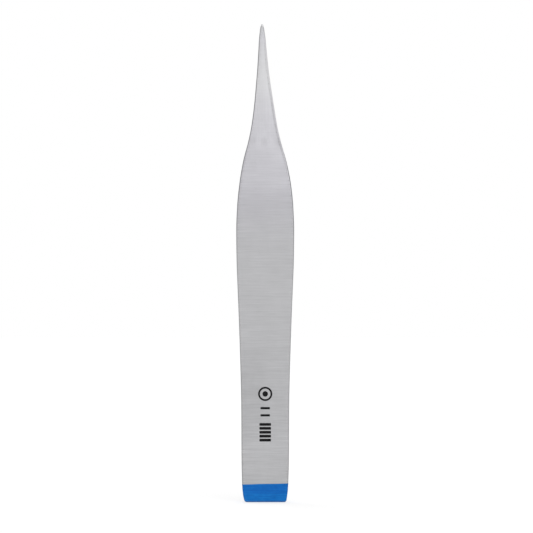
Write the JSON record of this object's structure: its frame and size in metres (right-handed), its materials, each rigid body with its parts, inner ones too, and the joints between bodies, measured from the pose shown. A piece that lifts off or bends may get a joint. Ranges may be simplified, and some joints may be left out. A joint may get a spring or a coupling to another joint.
{
  "type": "precision tweezers",
  "caption": "Fine straight tweezers: mirrored flat spring steel arms with a broad belly and needle tips, spot welded at the heel, with a blue painted heel end.",
  "frame": {"origin": "centre of the heel's flat end face", "axes": "+Z along the tweezers towards the tips, X across the blades' width, Y the closing direction, with the front arm on the -Y side"},
  "size_m": [0.0108, 0.01, 0.09],
  "materials": {
    "arm_steel": "satin, brushed across the arm's width, ground lengthwise near the tips",
    "weld_steel": "as fused",
    "end_paint": "glossy dipped paint"
  },
  "bodies": {
    "heel": {"front_arm_heel": "arm_steel", "back_arm_heel": "arm_steel", "weld_nugget_rear": "weld_steel", "weld_nugget_front": "weld_steel", "end_coat": "end_paint"},
    "front_arm": {"front_arm_blade": "arm_steel"},
    "back_arm": {"back_arm_blade": "arm_steel"}
  },
  "joints": [
    {"name": "front_arm_flex", "type": "hinge", "parent": "heel", "child": "front_arm", "pos_m": [0, -0.00136, 0.02167], "axis": [-1, 0, 0], "range_deg": [0, 3.37], "stiffness_Nm_per_rad": 1.4},
    {"name": "back_arm_flex", "type": "hinge", "parent": "heel", "child": "back_arm", "pos_m": [0, 0.00136, 0.02167], "axis": [1, 0, 0], "range_deg": [0, 3.37], "stiffness_Nm_per_rad": 1.4}
  ],
  "couplings": [
    {"joint": "back_arm_flex", "follows": "front_arm_flex", "ratio": 1}
  ]
}
